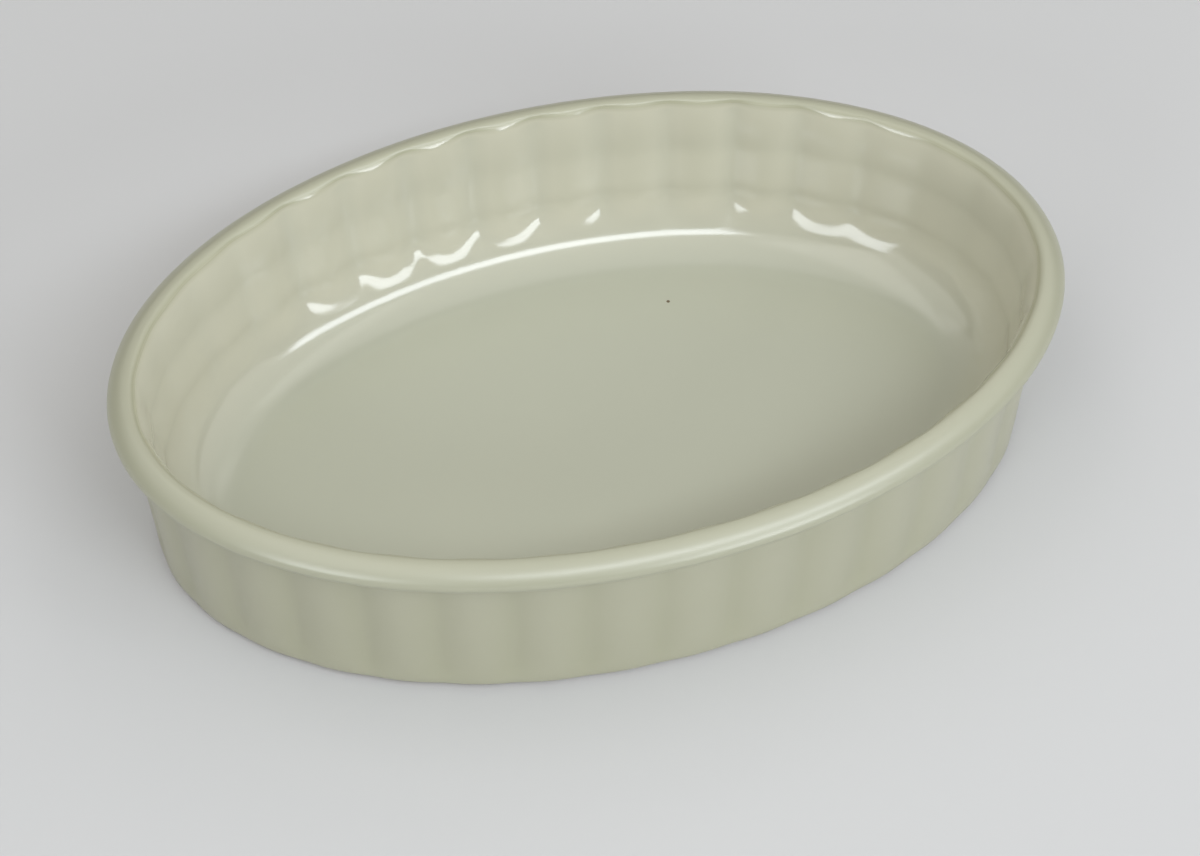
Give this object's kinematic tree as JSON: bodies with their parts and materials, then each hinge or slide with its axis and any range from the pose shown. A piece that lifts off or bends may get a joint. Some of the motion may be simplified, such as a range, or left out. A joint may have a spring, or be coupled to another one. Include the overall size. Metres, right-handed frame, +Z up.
{
  "type": "oval ramekin",
  "caption": "Shallow oval ramekin in glazed stoneware, with a fluted wall, a rounded overhanging rim, a flat floor and a bare foot ring, for baking and serving one portion.",
  "frame": {"origin": "middle of the footprint, on the surface that the dish stands on", "axes": "+X along the dish's length, +Y across it, +Z up"},
  "size_m": [0.14, 0.09, 0.0305],
  "materials": {
    "stoneware": "matte, unglazed and slightly gritty",
    "glaze": "glossy pale sage glaze"
  },
  "bodies": {
    "root": {"stoneware_body": "stoneware", "glaze_coat": "glaze", "recess_glaze": "glaze"}
  },
  "joints": []
}
